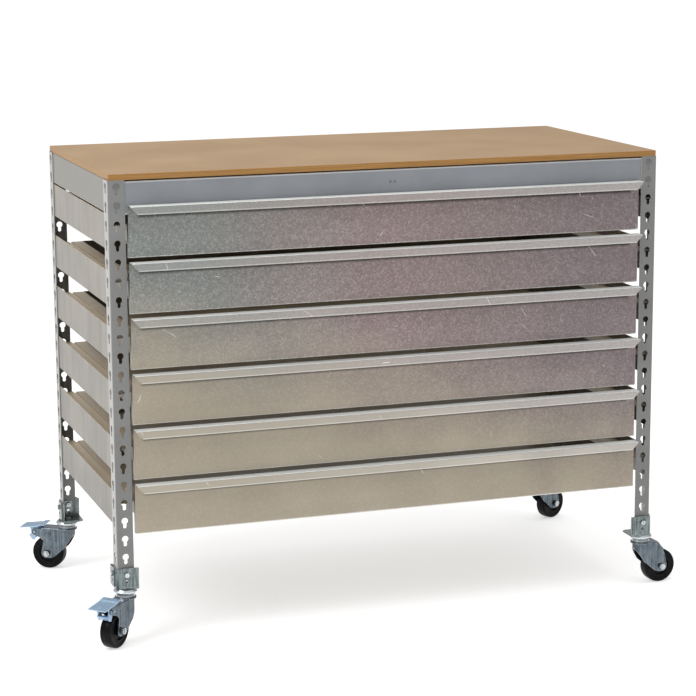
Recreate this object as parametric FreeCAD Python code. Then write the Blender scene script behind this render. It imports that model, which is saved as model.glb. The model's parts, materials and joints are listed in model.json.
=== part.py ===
import FreeCAD, Part
import math
import os

# Workbench with six sliding drawers on four swivel castors.
# Millimetres. +X to the right, front towards -Y, +Z up, floor at Z = 0.

V = FreeCAD.Vector

# Overall sizes
WIDTH = 1200.0
DEPTH = 580.0
POST_BOTTOM = 123.0
POST_LENGTH = 832.0
TOP = POST_BOTTOM + POST_LENGTH
BOARD_T = 12.0
BOARD_INSET = 2.0
HALF_W = WIDTH / 2
HALF_D = DEPTH / 2

# Posts: equal angle with a keyhole every 38 mm in both legs
LEG = 35.0
POST_T = 2.0
POST_BEND = 3.0
KEY_PITCH = 38.0
KEY_COUNT = 22
KEY_FIRST = 12.6
KEY_ACROSS = 18.3
KEY_R = 6.75
SLOT_R = 3.5
SLOT_DROP = 12.25

# Beams under the board, roll-formed channels
BEAM_T = 1.5
BEAM_LEG = 20.0
BEAM_BEND = 1.6
FRONT_BEAM_TOP = -3.0
FRONT_BEAM_BOTTOM = -70.0
SIDE_BEAM_TOP = 0.0
SIDE_BEAM_BOTTOM = -67.0
STUD_R = 6.3
STUD_PROUD = 0.8
STUD_SHANK_R = 3.0
STUD_HOLE_R = 3.05

# Centre tie between the front and rear beam
TIE_WIDTH = 40.0
TIE_TOP = -6.0
TIE_DEPTH = 36.0
TIE_RIVET_X = 5.0
TIE_RIVET_Z = -28.0

# Drawer rails: six on each side
LEVELS = 6
LEVEL_PITCH = 3 * KEY_PITCH
RAIL_TOP = -70.0
RAIL_HEIGHT = 70.0
RAIL_T = 1.2
LEDGE_DROP = 20.0
LEDGE_REACH = 60.0
LEDGE_LIP = 10.0
END_GAP = 4.0

# Drawer fronts
FRONT_T = 1.2
FRONT_HALF = 559.0
FRONT_TOP = -51.0
FRONT_BOTTOM = -157.0
FRONT_GAP = 0.6
SHELF_REACH = 25.0
LIP_HEIGHT = 16.5
RETURN = 12.0

# Drawer trays
TRAY_T = 1.2
TRAY_HALF = 534.0
TRAY_REAR = 280.0
TRAY_FLOOR = -147.0
WING_LIFT = 0.1
TRAVEL = 400.0

# Castors
KING_ALONG = 18.0
KING_ACROSS = 11.0
KING_R = 6.0
RUN = 0.05
WHEEL_R = 37.5
WHEEL_WIDTH = 25.0
TRAIL = 44.0
AXLE_R = 4.0
HUB_R = 24.0
HUB_HALF = 15.2
ARM_IN = 15.5
ARM_T = 2.5
FORK_TOP = 96.0
HEAD_TOP = 102.5
RACE_BOTTOM = 103.0
BASE_BOTTOM = 114.0
BASE_TOP = 117.5
BRACKET_TOP = 158.0
BRACKET_T = 3.5
BRACKET_LEG = 44.0
BOLT_Z = 145.5
OPEN_HOLE_Z = 131.5
PAD_SPAN = (118.5, 159.5)
ANGLE_SPAN = (121.5, 155.0)
BOLT_R = 3.0
HOLE_R = 3.3
PEDAL_PIVOT = (72.0, 87.0)
PEDAL_PRESS = 12.0

# Each castor: side sign, front or rear sign, heading of the wheel, brake
CASTORS = {
    "front_left": (-1, -1, 224.0, True),
    "front_right": (1, -1, 4.0, False),
    "rear_left": (-1, 1, 148.0, True),
    "rear_right": (1, 1, 25.0, False),
}

nodes = {}


def box(x0, x1, y0, y1, z0, z1):
    return Part.makeBox(x1 - x0, y1 - y0, z1 - z0, V(x0, y0, z0))


def cylinder(radius, start, end):
    axis = end - start
    return Part.makeCylinder(radius, axis.Length, start, axis)


def prism(points, direction):
    outline = Part.makePolygon(points + [points[0]])
    return Part.Face(outline).extrude(direction)


def hexagon(across_flats, centre, direction, height):
    ring = across_flats / math.sqrt(3)
    side_a = direction.cross(V(0, 0, 1)).normalize()
    side_b = direction.cross(side_a).normalize()
    corners = []
    for i in range(6):
        turn = math.radians(60 * i)
        corners.append(centre + side_a * (ring * math.cos(turn)) + side_b * (ring * math.sin(turn)))
    unit = V(direction)
    return prism(corners, unit.normalize() * height)


def bent_sheet(path, thick, bend, place, direction):
    """Sheet of even thickness along a 2D path with rounded bends, extruded."""
    count = len(path)
    heads = []
    for i in range(count - 1):
        du = path[i + 1][0] - path[i][0]
        dv = path[i + 1][1] - path[i][1]
        size = math.hypot(du, dv)
        heads.append((du / size, dv / size))

    def side_edges(offset):
        edges = []
        start = (path[0][0] - heads[0][1] * offset, path[0][1] + heads[0][0] * offset)
        for i in range(1, count - 1):
            a = heads[i - 1]
            b = heads[i]
            turn = math.atan2(a[0] * b[1] - a[1] * b[0], a[0] * b[0] + a[1] * b[1])
            back = bend * math.tan(abs(turn) / 2)
            hand = 1 if turn > 0 else -1
            enter = (path[i][0] - a[0] * back, path[i][1] - a[1] * back)
            centre = (enter[0] - a[1] * bend * hand, enter[1] + a[0] * bend * hand)
            radius = bend - offset * hand
            first = (centre[0] + a[1] * radius * hand, centre[1] - a[0] * radius * hand)
            last = (centre[0] + b[1] * radius * hand, centre[1] - b[0] * radius * hand)
            mid_u = a[1] + b[1]
            mid_v = -a[0] - b[0]
            size = math.hypot(mid_u, mid_v)
            middle = (centre[0] + mid_u / size * radius * hand, centre[1] + mid_v / size * radius * hand)
            edges.append(("line", start, first))
            edges.append(("arc", first, middle, last))
            start = last
        tail = heads[-1]
        end = (path[-1][0] - tail[1] * offset, path[-1][1] + tail[0] * offset)
        edges.append(("line", start, end))
        return edges

    def build(edges):
        made = []
        for edge in edges:
            pts = [place(*p) for p in edge[1:]]
            if edge[0] == "line":
                made.append(Part.makeLine(pts[0], pts[1]))
            else:
                made.append(Part.Arc(pts[0], pts[1], pts[2]).toShape())
        return made

    left = side_edges(thick / 2)
    right = side_edges(-thick / 2)
    edges = build(left) + build(right)
    edges.append(Part.makeLine(place(*left[0][1]), place(*right[0][1])))
    edges.append(Part.makeLine(place(*left[-1][2]), place(*right[-1][2])))
    wire = Part.Wire(Part.__sortEdges__(edges))
    return Part.Face(wire).extrude(direction)


def mirror_x(shape):
    return shape.mirror(V(0, 0, 0), V(1, 0, 0))


def mirror_y(shape):
    return shape.mirror(V(0, 0, 0), V(0, 1, 0))


def to_corner(shape, side, end):
    """Move a shape made for the front left corner to another corner."""
    if side > 0:
        shape = mirror_x(shape)
    if end > 0:
        shape = mirror_y(shape)
    return shape


def fuse(first, *others):
    return first.fuse(list(others)).removeSplitter()


def keyhole(across, high):
    """Outline of a round hole with a narrow slot below it, in the XZ plane."""
    drop = math.sqrt(KEY_R ** 2 - SLOT_R ** 2)
    right = V(across + SLOT_R, 0, high - drop)
    left = V(across - SLOT_R, 0, high - drop)
    low_left = V(across - SLOT_R, 0, high - SLOT_DROP)
    low_right = V(across + SLOT_R, 0, high - SLOT_DROP)
    round_part = Part.Arc(right, V(across, 0, high + KEY_R), left).toShape()
    slot_end = Part.Arc(low_left, V(across, 0, high - SLOT_DROP - SLOT_R), low_right).toShape()
    return Part.Wire([round_part, Part.makeLine(left, low_left), slot_end,
                      Part.makeLine(low_right, right)])


def key_height(number):
    """Height of the round part of a keyhole, counted from the top."""
    return TOP - KEY_FIRST - (number - 1) * KEY_PITCH


def make_post():
    """Front left post, outer corner at (-HALF_W, -HALF_D)."""
    frame = Part.makePolygon([
        V(POST_BEND, 0, POST_BOTTOM), V(LEG, 0, POST_BOTTOM),
        V(LEG, 0, TOP), V(POST_BEND, 0, TOP), V(POST_BEND, 0, POST_BOTTOM)])
    holes = [keyhole(KEY_ACROSS, key_height(i + 1)) for i in range(KEY_COUNT)]
    sheet = Part.makeFace([frame] + holes, "Part::FaceMakerBullseye")
    front_leg = sheet.extrude(V(0, POST_T, 0))
    side_leg = front_leg.mirror(V(0, 0, 0), V(1, -1, 0))
    centre = V(POST_BEND, POST_BEND, POST_BOTTOM)
    ring = Part.makeCylinder(POST_BEND, POST_LENGTH, centre)
    ring = ring.cut(Part.makeCylinder(POST_BEND - POST_T, POST_LENGTH, centre))
    corner = ring.common(box(0, POST_BEND, 0, POST_BEND, POST_BOTTOM, TOP))
    post = fuse(front_leg, side_leg, corner)
    post.translate(V(-HALF_W, -HALF_D, 0))
    return post


def channel(low, high):
    """C-section path for a beam, web first, legs pointing inwards."""
    half = BEAM_T / 2
    return [(BEAM_LEG, TOP + high - half), (half, TOP + high - half),
            (half, TOP + low + half), (BEAM_LEG, TOP + low + half)]


def stud(face, direction, thick):
    """Flat stud whose head fills the round part of a keyhole."""
    head = cylinder(STUD_R, face, face + direction * (POST_T + STUD_PROUD))
    rim = [e for e in head.Edges if abs(e.CenterOfMass.sub(face).Length - POST_T - STUD_PROUD) < 0.01]
    head = head.makeChamfer(0.5, rim)
    shank = cylinder(STUD_SHANK_R, face - direction * thick, face)
    return head.fuse(shank).removeSplitter()


def make_worktop():
    x = HALF_W - BOARD_INSET
    board = box(-x, x, -HALF_D, HALF_D, TOP, TOP + BOARD_T)
    return board.makeChamfer(0.6, board.Edges)


def make_front_beam():
    """Front beam, with stud holes at both ends and the tie's rivet holes."""
    end = HALF_W - END_GAP
    web = -HALF_D + POST_T
    beam = bent_sheet(channel(FRONT_BEAM_BOTTOM, FRONT_BEAM_TOP), BEAM_T, BEAM_BEND,
                      lambda u, v: V(-end, web + u, v), V(2 * end, 0, 0))
    tools = []
    for side in (-1, 1):
        for number in (1, 2):
            at = V(side * (HALF_W - KEY_ACROSS), web - 1, key_height(number))
            tools.append(cylinder(STUD_HOLE_R, at, at + V(0, 4, 0)))
        at = V(side * TIE_RIVET_X, web - 1, TOP + TIE_RIVET_Z)
        tools.append(cylinder(1.65, at, at + V(0, 4, 0)))
    return beam.cut(tools)


def make_side_beam():
    """Left beam, closed face outwards."""
    end = HALF_D - END_GAP
    web = -HALF_W + POST_T
    beam = bent_sheet(channel(SIDE_BEAM_BOTTOM, SIDE_BEAM_TOP), BEAM_T, BEAM_BEND,
                      lambda u, v: V(web + u, -end, v), V(0, 2 * end, 0))
    tools = []
    for side in (-1, 1):
        for number in (1, 2):
            at = V(web - 1, side * (HALF_D - KEY_ACROSS), key_height(number))
            tools.append(cylinder(STUD_HOLE_R, at, at + V(4, 0, 0)))
    return beam.cut(tools)


def make_tie():
    """Inverted channel with closed ends, between the front and rear beam."""
    end = HALF_D - POST_T - BEAM_T
    half = TIE_WIDTH / 2
    tie = box(-half, half, -end, end, TOP + TIE_TOP - TIE_DEPTH, TOP + TIE_TOP)
    tie = tie.makeFillet(2.0, [e for e in tie.Edges if abs(e.CenterOfMass.z - TOP - TIE_TOP) < 0.01
                               and abs(e.CenterOfMass.x) > half - 0.1])
    hollow = box(-half + 1.5, half - 1.5, -end + 1.5, end - 1.5,
                 TOP + TIE_TOP - TIE_DEPTH - 1, TOP + TIE_TOP - 1.5)
    tools = [hollow]
    for side in (-1, 1):
        at = V(side * TIE_RIVET_X, -HALF_D, TOP + TIE_RIVET_Z)
        tools.append(cylinder(1.65, at, at + V(0, DEPTH, 0)))
    return tie.cut(tools)


def make_tie_rivet(side, end):
    """Blind rivet with a small hollow, head on the outside of the beam."""
    face = -HALF_D + POST_T
    at = V(side * TIE_RIVET_X, face, TOP + TIE_RIVET_Z)
    head = cylinder(2.9, at - V(0, 0.8, 0), at)
    shank = cylinder(1.6, at, at + V(0, 2 * BEAM_T, 0))
    tail = cylinder(2.4, at + V(0, 2 * BEAM_T, 0), at + V(0, 2 * BEAM_T + 3, 0))
    rivet = fuse(head, shank, tail).cut(cylinder(0.9, at - V(0, 1, 0), at + V(0, 3, 0)))
    return mirror_y(rivet) if end > 0 else rivet


def level_z(level):
    """Height of the top edge of a rail; level 1 is the highest."""
    return TOP + RAIL_TOP - (level - 1) * LEVEL_PITCH


def make_rail(level):
    """Left rail: web with its top edge folded in and out into a ledge."""
    top = level_z(level)
    low = top - RAIL_HEIGHT
    ledge = top - LEDGE_DROP
    x = -HALF_W + POST_T
    t = RAIL_T
    end = HALF_D - END_GAP
    outline = [(x, low), (x + t, low), (x + t, ledge - t), (x + LEDGE_REACH - t, ledge - t),
               (x + LEDGE_REACH - t, ledge - LEDGE_LIP), (x + LEDGE_REACH, ledge - LEDGE_LIP),
               (x + LEDGE_REACH, ledge), (x + 2 * t, ledge), (x + 2 * t, top), (x, top)]
    rail = prism([V(u, -end, v) for u, v in outline], V(0, 2 * end, 0))
    tools = []
    for side in (-1, 1):
        for number in (3 * level, 3 * level + 1):
            at = V(x - 1, side * (HALF_D - KEY_ACROSS), key_height(number))
            tools.append(cylinder(STUD_HOLE_R, at, V(x + t, at.y, at.z)))
        y0, y1 = sorted((side * end, side * (end - RETURN - 4)))
        tools.append(box(-HALF_W + LEG + 2, x + LEDGE_REACH + 1, y0, y1, low, top))
    return rail.cut(tools)


def make_drawer_front(level):
    """Flat front with a forward shelf, a turned-down lip and folded edges."""
    base = TOP - (level - 1) * LEVEL_PITCH
    half = FRONT_T / 2
    back = -HALF_D + POST_T - FRONT_GAP
    y = back - half
    lip = back - FRONT_T - SHELF_REACH + half
    path = [(lip, base + FRONT_TOP - LIP_HEIGHT), (lip, base + FRONT_TOP - half),
            (y, base + FRONT_TOP - half), (y, base + FRONT_BOTTOM + half),
            (back + RETURN, base + FRONT_BOTTOM + half)]
    sheet = bent_sheet(path, FRONT_T, 1.5, lambda u, v: V(-FRONT_HALF, u, v), V(2 * FRONT_HALF, 0, 0))
    top = base + FRONT_TOP
    for side in (-1, 1):
        edge = side * FRONT_HALF
        cut = prism([V(edge, lip - 2, top - 2), V(edge + side, lip - 2, top - 2),
                     V(edge + side, lip - 2, top - LIP_HEIGHT - 1),
                     V(edge - side * (LIP_HEIGHT - 1), lip - 2, top - LIP_HEIGHT - 1)], V(0, 4, 0))
        sheet = sheet.cut(cut)
        x0, x1 = sorted((edge, edge - side * FRONT_T))
        flap = box(x0, x1, back - 0.2, back + RETURN,
                   base + FRONT_BOTTOM + 1.5, base + FRONT_BEAM_BOTTOM - 3)
        sheet = sheet.fuse(flap)
    return sheet.removeSplitter()


def make_tray(level):
    """Open tray with side wings that run on the ledges."""
    base = TOP - (level - 1) * LEVEL_PITCH
    ledge = level_z(level) - LEDGE_DROP
    top = ledge + WING_LIFT + TRAY_T
    front = -HALF_D + POST_T - FRONT_GAP
    floor = base + TRAY_FLOOR
    body = box(-TRAY_HALF, TRAY_HALF, front, TRAY_REAR, floor, top)
    body = body.makeFillet(4.0, [e for e in body.Edges if abs(e.CenterOfMass.z - (floor + top) / 2) < 0.01])
    t = TRAY_T
    hollow = box(-TRAY_HALF + t, TRAY_HALF - t, front + t, TRAY_REAR - t, floor + t, top + 1)
    hollow = hollow.makeFillet(4.0 - t, [e for e in hollow.Edges
                                         if abs(e.CenterOfMass.z - (floor + top + t + 1) / 2) < 0.01])
    tray = body.cut(hollow)
    wings = []
    for side in (-1, 1):
        x0, x1 = sorted((side * FRONT_HALF, side * (TRAY_HALF - t / 2)))
        wings.append(box(x0, x1, front + RETURN + 3, TRAY_REAR - 5, top - t, top))
    return fuse(tray, *wings)


def quarter_turn(side, end):
    """Angle that turns the front left castor bracket to another corner."""
    return {(-1, -1): 0, (1, -1): 90, (1, 1): 180, (-1, 1): 270}[(side, end)]


def bracket_to_corner(shape, side, end):
    """The four castors are alike, so their brackets are turned and not mirrored."""
    shape = shape.copy()
    shape.translate(V(HALF_W, HALF_D, 0))
    shape.rotate(V(0, 0, 0), V(0, 0, 1), quarter_turn(side, end))
    shape.translate(V(side * HALF_W, end * HALF_D, 0))
    return shape


def king_point(side, end):
    king = V(KING_ALONG, KING_ACROSS, 0)
    turn = FreeCAD.Rotation(V(0, 0, 1), quarter_turn(side, end))
    return turn.multVec(king) + V(side * HALF_W, end * HALF_D, 0)


def make_bracket():
    """Front left castor bracket: corner wall, base plate and fixed race."""
    x = -HALF_W
    y = -HALF_D
    t = BRACKET_T
    wall = box(x - t, x + BRACKET_LEG, y - t, y + BRACKET_LEG, BASE_BOTTOM, BRACKET_TOP)
    outer = [e for e in wall.Edges if abs(e.CenterOfMass.z - (BASE_BOTTOM + BRACKET_TOP) / 2) < 0.01]
    near = min(outer, key=lambda e: e.CenterOfMass.x + e.CenterOfMass.y)
    wall = wall.makeFillet(5.5, [near])
    inside = box(x, x + 60, y, y + 60, BASE_TOP, BRACKET_TOP + 1)
    inside = inside.makeFillet(2.0, [min(
        [e for e in inside.Edges if abs(e.CenterOfMass.z - (BASE_TOP + BRACKET_TOP + 1) / 2) < 0.01],
        key=lambda e: e.CenterOfMass.x + e.CenterOfMass.y)])
    wall = wall.cut(inside)
    far = box(x + 40, x + 60, y + 40, y + 60, 0, BASE_TOP)
    wall = wall.cut(far)
    king = king_point(-1, -1)
    race = Part.makeCone(20.5, 24.5, 5.0, king + V(0, 0, RACE_BOTTOM))
    race = race.fuse(Part.makeCylinder(24.5, 2.0, king + V(0, 0, RACE_BOTTOM + 5)))
    race = race.fuse(Part.makeCone(24.5, 21.5, 4.0, king + V(0, 0, RACE_BOTTOM + 7)))
    bracket = fuse(wall, race)
    tools = [Part.makeCylinder(KING_R + RUN, 60, king + V(0, 0, 60))]
    for height in (BOLT_Z, OPEN_HOLE_Z):
        across = V(x + KEY_ACROSS, y - 10, height)
        tools.append(cylinder(HOLE_R, across, across + V(0, 15, 0)))
        along = V(x - 10, y + KEY_ACROSS, height)
        tools.append(cylinder(HOLE_R, along, along + V(15, 0, 0)))
    return bracket.cut(tools)


def make_clamp_plates():
    """Two outer pads and the inner angle of the front left bracket."""
    x = -HALF_W
    y = -HALF_D
    pads = []
    pad = box(x + 10, x + 41, y - BRACKET_T - 2.5, y - BRACKET_T, *PAD_SPAN)
    pad = pad.makeFillet(3.0, [e for e in pad.Edges if abs(e.CenterOfMass.y - y + BRACKET_T + 1.25) < 0.01])
    for height in (BOLT_Z, OPEN_HOLE_Z):
        at = V(x + KEY_ACROSS, y - 10, height)
        pad = pad.cut(cylinder(HOLE_R, at, at + V(0, 15, 0)))
    pads.append(pad)
    swapped = pad.copy()
    swapped.translate(V(-x, -y, 0))
    swapped = swapped.mirror(V(0, 0, 0), V(1, -1, 0))
    swapped.translate(V(x, y, 0))
    pads.append(swapped)
    i = POST_T
    outline = [(i, i), (28, i), (28, i + 2.5), (i + 2.5, i + 2.5), (i + 2.5, 28), (i, 28)]
    low, high = ANGLE_SPAN
    angle = prism([V(x + u, y + v, low) for u, v in outline], V(0, 0, high - low))
    lead = [e for e in angle.Edges if abs(e.CenterOfMass.z - (low + high) / 2) < 0.01
            and abs(e.CenterOfMass.x - x - i) < 0.01 and abs(e.CenterOfMass.y - y - i) < 0.01]
    angle = angle.makeFillet(1.5, lead)
    for height in (BOLT_Z, OPEN_HOLE_Z):
        at = V(x + KEY_ACROSS, y - 1, height)
        angle = angle.cut(cylinder(HOLE_R, at, at + V(0, 8, 0)))
        at = V(x - 1, y + KEY_ACROSS, height)
        angle = angle.cut(cylinder(HOLE_R, at, at + V(8, 0, 0)))
    pads.append(angle)
    return pads


def make_bracket_bolts():
    """Hexagon bolt and nut through each leg of the front left bracket."""
    bolts = []
    inner = POST_T + 2.5
    for direction, at in ((V(0, 1, 0), V(-HALF_W + KEY_ACROSS, -HALF_D, BOLT_Z)),
                          (V(1, 0, 0), V(-HALF_W, -HALF_D + KEY_ACROSS, BOLT_Z))):
        outer = at - direction * (BRACKET_T + 2.5)
        head = hexagon(10.0, outer - direction * 4.0, direction, 4.0)
        shank = cylinder(BOLT_R, outer, at + direction * (inner + 6.5))
        nut = hexagon(10.0, at + direction * inner, direction, 5.0)
        bolts.append(fuse(head, shank, nut))
    return bolts


def make_kingpin(side, end):
    king = king_point(side, end)
    head = Part.makeCylinder(9.0, 3.0, king + V(0, 0, BASE_TOP))
    head = head.makeFillet(1.5, [max(head.Edges, key=lambda e: e.CenterOfMass.z)])
    low = FORK_TOP - 4.0
    shank = Part.makeCylinder(KING_R, BASE_TOP - low, king + V(0, 0, low))
    foot = Part.makeCylinder(9.0, 2.5, king + V(0, 0, low - 2.3))
    return fuse(head, shank, foot)


def turn_into_place(shape, name):
    side, end, heading, brake = CASTORS[name]
    shape = shape.copy()
    shape.rotate(V(0, 0, 0), V(0, 0, 1), heading)
    shape.translate(king_point(side, end))
    return shape


def arm_outline(brake):
    """Side view of the fork: forwards from the kingpin, height."""
    top = FORK_TOP - 2
    rear = [(-21, top), (-21, 87), (2, 51), (TRAIL - 18, 30.5), (TRAIL - 7, 26.5)]
    foot = [(TRAIL + 6, 26.5), (TRAIL + 12, 31), (TRAIL + 13.5, 38), (TRAIL + 8, 66)]
    if brake:
        front = [(TRAIL + 15, 73), (TRAIL + 31, 79), (TRAIL + 35.5, 82.5), (TRAIL + 36, 89), (TRAIL + 32, top)]
    else:
        front = [(TRAIL + 1, 82), (36, top)]
    return rear + foot + front


def trough(half, low, high):
    """Solid with a half-round back round the kingpin and straight sides."""
    return fuse(box(0, 90, -half, half, low, high), Part.makeCylinder(half, high - low, V(0, 0, low)))


def make_fork(brake):
    """Pressed steel fork: arms that wrap round the back, head plate and swivel head."""
    reach = TRAIL + 12 if brake else 34
    wide = ARM_IN + ARM_T
    arms = trough(wide, 20, FORK_TOP - 1).cut(trough(ARM_IN, 10, FORK_TOP + 1))
    arms = arms.common(prism([V(u, -30, z) for u, z in arm_outline(brake)], V(0, 60, 0)))
    pad = box(TRAIL - 9, TRAIL + 4, wide - 0.2, wide + 0.8, 46, 82)
    pad = pad.makeFillet(4.0, [e for e in pad.Edges if abs(e.CenterOfMass.y - wide - 0.3) < 0.01])
    plate = box(0, reach, -wide, wide, FORK_TOP - 2.5, FORK_TOP)
    plate = plate.makeFillet(2.0, [e for e in plate.Edges if abs(e.CenterOfMass.z - FORK_TOP) < 0.01
                                   and abs(e.CenterOfMass.y) > wide - 0.1])
    disc = Part.makeCylinder(22.5, 3.5, V(0, 0, FORK_TOP - 2.5))
    disc = disc.makeFillet(1.5, [max(disc.Edges, key=lambda e: e.CenterOfMass.z)])
    crown = Part.makeCone(20.0, 18.0, HEAD_TOP - FORK_TOP - 0.5, V(0, 0, FORK_TOP + 0.5))
    fork = fuse(arms, pad, mirror_y(pad), plate, disc, crown)
    tools = [Part.makeCylinder(KING_R + RUN, 40, V(0, 0, 70)),
             cylinder(AXLE_R + RUN, V(TRAIL, -30, WHEEL_R), V(TRAIL, 30, WHEEL_R))]
    if brake:
        u, z = PEDAL_PIVOT
        tools.append(cylinder(2.0 + RUN, V(u, -30, z), V(u, 30, z)))
    return fork.cut(tools)


def make_tyre():
    half = WHEEL_WIDTH / 2
    start = V(TRAIL, -half, WHEEL_R)
    tyre = cylinder(WHEEL_R, start, start + V(0, WHEEL_WIDTH, 0))
    tyre = tyre.makeFillet(4.0, tyre.Edges[:1] + tyre.Edges[2:])
    return tyre.cut(cylinder(HUB_R, start - V(0, 1, 0), start + V(0, WHEEL_WIDTH + 1, 0)))


def make_hub():
    half = WHEEL_WIDTH / 2 - 0.8
    centre = V(TRAIL, 0, WHEEL_R)
    disc = cylinder(HUB_R, centre - V(0, half, 0), centre + V(0, half, 0))
    boss = cylinder(9.0, centre - V(0, HUB_HALF, 0), centre + V(0, HUB_HALF, 0))
    tools = [cylinder(AXLE_R + RUN, centre - V(0, 20, 0), centre + V(0, 20, 0))]
    for side in (-1, 1):
        recess = cylinder(21.0, centre + V(0, side * (half - 3.5), 0), centre + V(0, side * (half + 1), 0))
        keep = cylinder(11.0, centre + V(0, side * (half - 4.5), 0), centre + V(0, side * (half + 2), 0))
        tools.append(recess.cut(keep))
    return fuse(disc, boss).cut(tools)


def make_axle():
    """Axle bolt with its hexagon head and nut outside the fork arms."""
    face = ARM_IN + ARM_T + 0.8
    shank = cylinder(AXLE_R, V(TRAIL, -face - 6, WHEEL_R), V(TRAIL, face + 8, WHEEL_R))
    head = hexagon(13.0, V(TRAIL, -face - 5.5, WHEEL_R), V(0, 1, 0), 5.0)
    nut = hexagon(13.0, V(TRAIL, face + 0.5, WHEEL_R), V(0, 1, 0), 6.0)
    return fuse(shank, head, nut)


def make_pedal():
    """Brake pedal: stepped tread plate, two cheeks, pivot pin and brake shoe."""
    u0, z0 = PEDAL_PIVOT
    path = [(u0 - 24, 104), (u0 - 12, 103), (u0 - 7, 100.5), (u0 + 35, 95.5)]
    tread = bent_sheet(path, 2.0, 2.5, lambda u, v: V(u, -21, v), V(0, 42, 0))
    cheeks = []
    for side in (-1, 1):
        outline = [(u0 - 6, 84), (u0 - 1, 76), (u0 + 3, 66), (u0 + 9, 67), (u0 + 14, 75), (u0 + 10, 85),
                   (u0 + 14, 97), (u0 - 5, 99)]
        y = side * 12.5
        cheeks.append(prism([V(u, y - 1.2, v) for u, v in outline], V(0, 2.4, 0)))
    pin = cylinder(2.0, V(u0, -21.5, z0), V(u0, 21.5, z0))
    grip = [(u0 - 1, 73.5), (u0 + 6, 67.5), (u0 + 16, 77)]
    shoe = bent_sheet(grip, 2.4, 2.5, lambda u, v: V(u, -12, v), V(0, 24, 0))
    return fuse(tread, cheeks[0], cheeks[1], pin, shoe)


# Board, posts and beams
nodes["worktop"] = make_worktop()
post = make_post()
for name, (side, end, heading, brake) in CASTORS.items():
    nodes["post_" + name] = to_corner(post, side, end)
nodes["beam_front"] = make_front_beam()
nodes["beam_rear"] = mirror_y(nodes["beam_front"])
nodes["side_beam_left"] = make_side_beam()
nodes["side_beam_right"] = mirror_x(nodes["side_beam_left"])
nodes["centre_tie"] = make_tie()

# Rails and drawers, level 1 at the top
for level in range(1, LEVELS + 1):
    rail = make_rail(level)
    nodes["rail_left_%d" % level] = rail
    nodes["rail_right_%d" % level] = mirror_x(rail)
    nodes["drawer_front_%d" % level] = make_drawer_front(level)
    nodes["drawer_tray_%d" % level] = make_tray(level)

# Studs that hang the beams and rails in the keyholes, and the tie's rivets
fixings = []
for side in (-1, 1):
    for end in (-1, 1):
        for number in (1, 2):
            face = V(side * (HALF_W - KEY_ACROSS), end * (HALF_D - POST_T), key_height(number))
            fixings.append(stud(face, V(0, end, 0), BEAM_T))
            face = V(side * (HALF_W - POST_T), end * (HALF_D - KEY_ACROSS), key_height(number))
            fixings.append(stud(face, V(side, 0, 0), BEAM_T))
        for number in range(3, 3 * LEVELS + 2):
            if number % 3 != 2:
                face = V(side * (HALF_W - POST_T), end * (HALF_D - KEY_ACROSS), key_height(number))
                fixings.append(stud(face, V(side, 0, 0), RAIL_T))
        fixings.append(make_tie_rivet(side, end))
nodes["studs_and_rivets"] = Part.makeCompound(fixings)

# Castors
bracket = make_bracket()
plates = make_clamp_plates()
bolts = make_bracket_bolts()
all_plates = []
all_bolts = []
all_pins = []
for name, (side, end, heading, brake) in CASTORS.items():
    nodes["castor_bracket_" + name] = bracket_to_corner(bracket, side, end)
    all_plates += [bracket_to_corner(p, side, end) for p in plates]
    all_bolts += [bracket_to_corner(b, side, end) for b in bolts]
    all_pins.append(make_kingpin(side, end))
    nodes["fork_" + name] = turn_into_place(make_fork(brake), name)
    nodes["tyre_" + name] = turn_into_place(make_tyre(), name)
    nodes["hub_" + name] = turn_into_place(make_hub(), name)
    nodes["axle_" + name] = turn_into_place(make_axle(), name)
    if brake:
        nodes["brake_pedal_" + name] = turn_into_place(make_pedal(), name)
nodes["castor_clamp_plates"] = Part.makeCompound(all_plates)
nodes["castor_bracket_bolts"] = Part.makeCompound(all_bolts)
nodes["kingpins"] = Part.makeCompound(all_pins)

# Origin: centre of the footprint on the floor
whole = Part.makeCompound(list(nodes.values())).optimalBoundingBox(False)
SHIFT = V(-(whole.XMin + whole.XMax) / 2, -(whole.YMin + whole.YMax) / 2, 0)

os.makedirs("parts", exist_ok=True)
for name, shape in nodes.items():
    shape.translate(SHIFT)
    shape.exportStep("parts/%s.step" % name)
    flaw = "" if shape.isValid() and all(s.isClosed() for s in shape.Solids) else "  NOT VALID"
    print("%-32s solids %3d  volume %10.1f%s" % (name, len(shape.Solids), shape.Volume, flaw))
print("nodes", len(nodes), "shift", SHIFT, "box", whole)
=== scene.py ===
# %% [markdown]
# # A rolling workbench with six sheet-metal drawers
# The bench is loaded as a fixed frame: every CAD node is already in its place,
# in metres. Sizes are read from the nodes wherever a node has them. The colours,
# the light and the camera are given as named values below.

# %% Load the frame
import bmesh
import bpy
import json
import math
from mathutils import Matrix, Vector


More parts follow.
